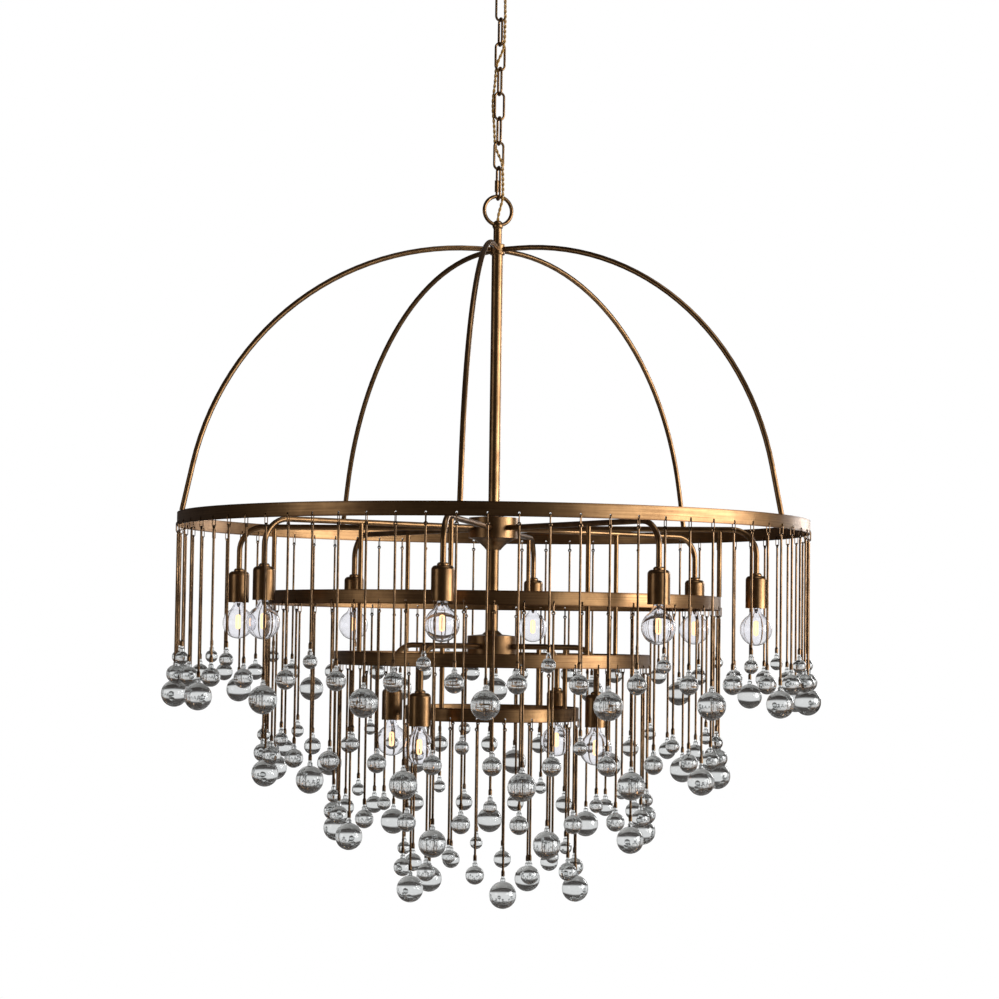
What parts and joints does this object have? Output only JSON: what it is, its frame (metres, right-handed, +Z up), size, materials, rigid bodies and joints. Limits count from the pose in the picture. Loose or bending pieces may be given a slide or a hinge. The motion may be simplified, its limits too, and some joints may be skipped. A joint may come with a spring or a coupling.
{
  "type": "chandelier",
  "caption": "Tiered chandelier on a laced chain: an open dome of rods over flat hoops that step inward, each hung with thin rods and clear glass balls around small globe bulbs.",
  "frame": {"origin": "the middle of the ceiling face, on the lamp's upright axis", "axes": "+Z up into the ceiling, -Y towards the picture's camera, +X to its right"},
  "size_m": [0.9376, 0.9492, 1.4043],
  "materials": {
    "antique_brass": "aged, brushed along the hoops",
    "plated_steel": "zinc plated",
    "cord_sleeve": "clear gold",
    "holder_plastic": "matte",
    "clear_glass": "clear with seeds",
    "bulb_glass": "clear"
  },
  "bodies": {
    "ceiling_fitting": {"ceiling_bracket": "plated_steel", "bracket_nut": "plated_steel", "bracket_nipple": "plated_steel", "canopy": "antique_brass", "canopy_collar": "antique_brass", "canopy_loop": "antique_brass", "supply_cord": "cord_sleeve"},
    "chain_link_8_body": {"chain_link_8": "antique_brass"},
    "chain_link_7_body": {"chain_link_7": "antique_brass"},
    "chain_link_6_body": {"chain_link_6": "antique_brass"},
    "chain_link_5_body": {"chain_link_5": "antique_brass"},
    "chain_link_4_body": {"chain_link_4": "antique_brass"},
    "chain_link_3_body": {"chain_link_3": "antique_brass"},
    "chain_link_2_body": {"chain_link_2": "antique_brass"},
    "screw_link_body": {"screw_link": "antique_brass"},
    "screw_sleeve_body": {"screw_sleeve": "antique_brass"},
    "hanging_ring_body": {"hanging_ring": "antique_brass"},
    "lamp": {"top_knuckle": "antique_brass", "crown_collar": "antique_brass", "stem": "antique_brass", "dome_rods": "antique_brass", "upper_arms": "antique_brass", "lower_arms": "antique_brass", "upper_hub": "antique_brass", "upper_hub_dish": "antique_brass", "lower_hub": "antique_brass", "lower_hub_dish": "antique_brass", "hoop_1": "antique_brass", "hoop_2": "antique_brass", "hoop_3": "antique_brass", "hoop_4": "antique_brass", "hoop_struts": "antique_brass", "upper_socket_cups": "antique_brass", "lower_socket_cups": "antique_brass", "lampholders": "holder_plastic", "drop_rods_1": "antique_brass", "drop_rods_2": "antique_brass", "drop_rods_3": "antique_brass", "drop_rods_4": "antique_brass", "glass_balls_1": "clear_glass", "glass_balls_2": "clear_glass", "glass_balls_3": "clear_glass", "glass_balls_4": "clear_glass", "drop_hooks": "antique_brass"},
    "bulb_01_body": {"bulb_01": "bulb_glass"},
    "bulb_02_body": {"bulb_02": "bulb_glass"},
    "bulb_03_body": {"bulb_03": "bulb_glass"},
    "bulb_04_body": {"bulb_04": "bulb_glass"},
    "bulb_05_body": {"bulb_05": "bulb_glass"},
    "bulb_06_body": {"bulb_06": "bulb_glass"},
    "bulb_07_body": {"bulb_07": "bulb_glass"},
    "bulb_08_body": {"bulb_08": "bulb_glass"},
    "bulb_09_body": {"bulb_09": "bulb_glass"},
    "bulb_10_body": {"bulb_10": "bulb_glass"},
    "bulb_11_body": {"bulb_11": "bulb_glass"},
    "bulb_12_body": {"bulb_12": "bulb_glass"}
  },
  "joints": [
    {"name": "chain_link_8_swing", "type": "hinge", "parent": "ceiling_fitting", "child": "chain_link_8_body", "pos_m": [0, 0, -0.08425], "axis": [-0.342, 0.9397, 0], "range_deg": [-10, 10], "deforming": ["supply_cord"]},
    {"name": "chain_link_7_swing", "type": "hinge", "parent": "chain_link_8_body", "child": "chain_link_7_body", "pos_m": [0, 0, -0.12055], "axis": [0.9397, 0.342, 0], "range_deg": [-10, 10], "deforming": ["supply_cord"]},
    {"name": "chain_link_6_swing", "type": "hinge", "parent": "chain_link_7_body", "child": "chain_link_6_body", "pos_m": [0, 0, -0.15735], "axis": [-0.342, 0.9397, 0], "range_deg": [-10, 10], "deforming": ["supply_cord"]},
    {"name": "chain_link_5_swing", "type": "hinge", "parent": "chain_link_6_body", "child": "chain_link_5_body", "pos_m": [0, 0, -0.19415], "axis": [0.9397, 0.342, 0], "range_deg": [-10, 10], "deforming": ["supply_cord"]},
    {"name": "chain_link_4_swing", "type": "hinge", "parent": "chain_link_5_body", "child": "chain_link_4_body", "pos_m": [0, 0, -0.23095], "axis": [-0.342, 0.9397, 0], "range_deg": [-10, 10], "deforming": ["supply_cord"]},
    {"name": "chain_link_3_swing", "type": "hinge", "parent": "chain_link_4_body", "child": "chain_link_3_body", "pos_m": [0, 0, -0.26775], "axis": [0.9397, 0.342, 0], "range_deg": [-10, 10], "deforming": ["supply_cord"]},
    {"name": "chain_link_2_swing", "type": "hinge", "parent": "chain_link_3_body", "child": "chain_link_2_body", "pos_m": [0, 0, -0.30455], "axis": [-0.342, 0.9397, 0], "range_deg": [-10, 10], "deforming": ["supply_cord"]},
    {"name": "screw_link_swing", "type": "hinge", "parent": "chain_link_2_body", "child": "screw_link_body", "pos_m": [0, 0, -0.34135], "axis": [0.9397, 0.342, 0], "range_deg": [-10, 10], "deforming": ["supply_cord"]},
    {"name": "hanging_ring_swing", "type": "hinge", "parent": "screw_link_body", "child": "hanging_ring_body", "pos_m": [0, 0, -0.38615], "axis": [-0.342, 0.9397, 0], "range_deg": [-10, 10], "deforming": ["supply_cord"]},
    {"name": "lamp_nod", "type": "hinge", "parent": "hanging_ring_body", "child": "lamp", "pos_m": [0, 0, -0.42395], "axis": [0.9397, 0.342, 0], "range_deg": [-10, 10], "deforming": ["supply_cord"]},
    {"name": "screw_sleeve_run", "type": "slide", "parent": "screw_link_body", "child": "screw_sleeve_body", "axis": [0, 0, 1], "range_m": [0, 0.01]},
    {"name": "bulb_01_out", "type": "slide", "parent": "lamp", "child": "bulb_01_body", "axis": [0, 0, -1], "range_m": [0, 0.03]},
    {"name": "bulb_02_out", "type": "slide", "parent": "lamp", "child": "bulb_02_body", "axis": [0, 0, -1], "range_m": [0, 0.03]},
    {"name": "bulb_03_out", "type": "slide", "parent": "lamp", "child": "bulb_03_body", "axis": [0, 0, -1], "range_m": [0, 0.03]},
    {"name": "bulb_04_out", "type": "slide", "parent": "lamp", "child": "bulb_04_body", "axis": [0, 0, -1], "range_m": [0, 0.03]},
    {"name": "bulb_05_out", "type": "slide", "parent": "lamp", "child": "bulb_05_body", "axis": [0, 0, -1], "range_m": [0, 0.03]},
    {"name": "bulb_06_out", "type": "slide", "parent": "lamp", "child": "bulb_06_body", "axis": [0, 0, -1], "range_m": [0, 0.03]},
    {"name": "bulb_07_out", "type": "slide", "parent": "lamp", "child": "bulb_07_body", "axis": [0, 0, -1], "range_m": [0, 0.03]},
    {"name": "bulb_08_out", "type": "slide", "parent": "lamp", "child": "bulb_08_body", "axis": [0, 0, -1], "range_m": [0, 0.03]},
    {"name": "bulb_09_out", "type": "slide", "parent": "lamp", "child": "bulb_09_body", "axis": [0, 0, -1], "range_m": [0, 0.03]},
    {"name": "bulb_10_out", "type": "slide", "parent": "lamp", "child": "bulb_10_body", "axis": [0, 0, -1], "range_m": [0, 0.03]},
    {"name": "bulb_11_out", "type": "slide", "parent": "lamp", "child": "bulb_11_body", "axis": [0, 0, -1], "range_m": [0, 0.03]},
    {"name": "bulb_12_out", "type": "slide", "parent": "lamp", "child": "bulb_12_body", "axis": [0, 0, -1], "range_m": [0, 0.03]}
  ]
}
